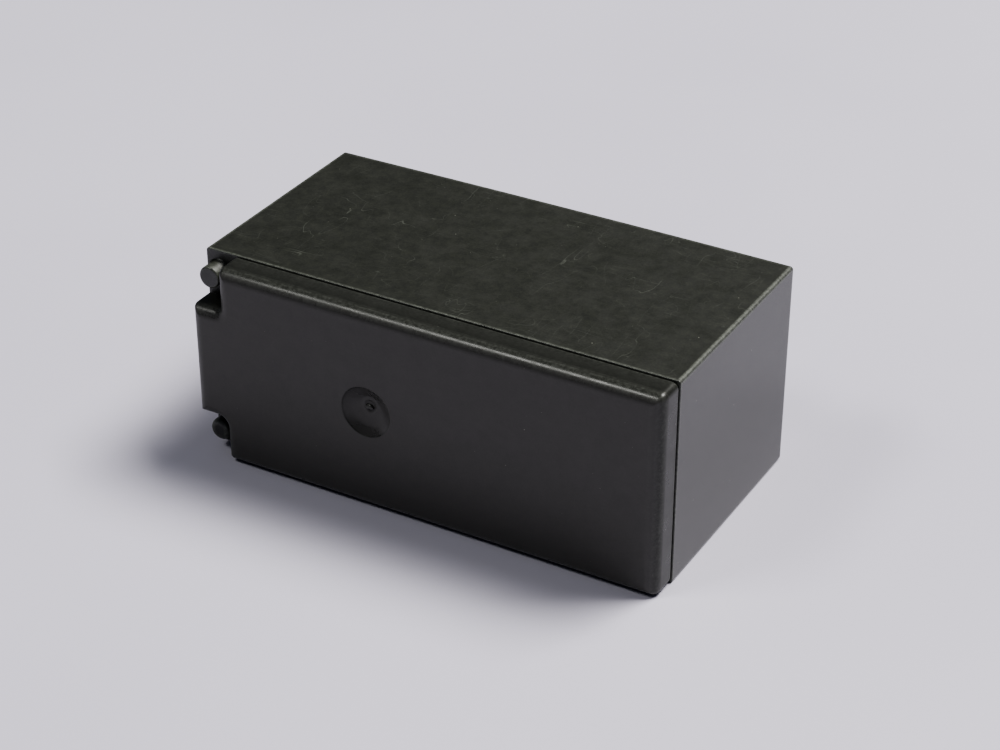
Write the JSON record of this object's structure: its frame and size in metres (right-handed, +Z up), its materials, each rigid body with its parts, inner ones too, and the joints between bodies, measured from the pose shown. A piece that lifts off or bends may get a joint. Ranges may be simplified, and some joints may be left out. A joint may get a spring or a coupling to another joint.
{
  "type": "plug in relay",
  "caption": "Miniature sealed power relay: black case, snap-in top plate keyed by pegs, coil, armature, card, changeover contacts and board pins.",
  "frame": {"origin": "middle of the underside of the whole part, pins included, as it lies on its long narrow side", "axes": "+X along the case's length, away from the notched and pegged end; +Y from the top plate towards the board pins; +Z up from the side that it lies on"},
  "size_m": [0.0288, 0.0194, 0.0123],
  "materials": {
    "case_plastic": "matte black moulded plastic, finely scratched",
    "plate_plastic": "satin black moulded plastic, worn along its front edges",
    "base_plastic": "matte black",
    "resin": "glossy poured epoxy",
    "bobbin_plastic": "natural satin polyester",
    "card_plastic": "natural satin",
    "enamelled_wire": "enamelled copper",
    "magnet_iron": "nickel-plated soft iron",
    "spring_bronze": "rolled spring bronze",
    "silver_contact": "silver alloy",
    "tinned_brass": "dull tin over brass"
  },
  "bodies": {
    "housing": {"case": "case_plastic", "terminal_base": "base_plastic", "sealing_resin": "resin", "insulation_wall": "bobbin_plastic", "coil_bobbin": "bobbin_plastic", "coil_winding": "enamelled_wire", "coil_leads": "enamelled_wire", "core": "magnet_iron", "yoke": "magnet_iron", "hinge_spring": "spring_bronze", "com_terminal_1": "tinned_brass", "com_terminal_2": "tinned_brass", "nc_terminal_1": "tinned_brass", "nc_terminal_2": "tinned_brass", "no_terminal_1": "tinned_brass", "no_terminal_2": "tinned_brass", "nc_contact_1": "silver_contact", "nc_contact_2": "silver_contact", "no_contact_1": "silver_contact", "no_contact_2": "silver_contact", "coil_terminal_1": "tinned_brass", "coil_terminal_2": "tinned_brass"},
    "top_plate": {"top_plate": "plate_plastic"},
    "armature": {"armature": "magnet_iron"},
    "card": {"card": "card_plastic"},
    "moving_spring_1": {"moving_spring_1": "spring_bronze", "moving_contact_1": "silver_contact"},
    "moving_spring_2": {"moving_spring_2": "spring_bronze", "moving_contact_2": "silver_contact"}
  },
  "joints": [
    {"name": "armature_hinge", "type": "hinge", "parent": "housing", "child": "armature", "pos_m": [-0.0113, 0.0035, 0.00615], "axis": [0, 0, 1], "range_deg": [0, 4.5], "stiffness_Nm_per_rad": 0.0005, "springref_deg": -2.86},
    {"name": "card_slide", "type": "slide", "parent": "housing", "child": "card", "axis": [1, 0, 0], "range_m": [0, 0.00078]},
    {"name": "moving_spring_1_bend", "type": "hinge", "parent": "housing", "child": "moving_spring_1", "pos_m": [0.00698, 0.0035, 0.0024], "axis": [0, 0, 1], "range_deg": [0, 4.55]},
    {"name": "moving_spring_2_bend", "type": "hinge", "parent": "housing", "child": "moving_spring_2", "pos_m": [0.00698, 0.0035, 0.0099], "axis": [0, 0, 1], "range_deg": [0, 4.55]},
    {"name": "top_plate_lift", "type": "slide", "parent": "housing", "child": "top_plate", "axis": [0, -1, 0], "range_m": [0, 0.012]}
  ],
  "couplings": [
    {"joint": "card_slide", "follows": "armature_hinge", "m_per_rad": 0.0099},
    {"joint": "moving_spring_1_bend", "follows": "armature_hinge", "ratio": 1},
    {"joint": "moving_spring_2_bend", "follows": "armature_hinge", "ratio": 1}
  ]
}
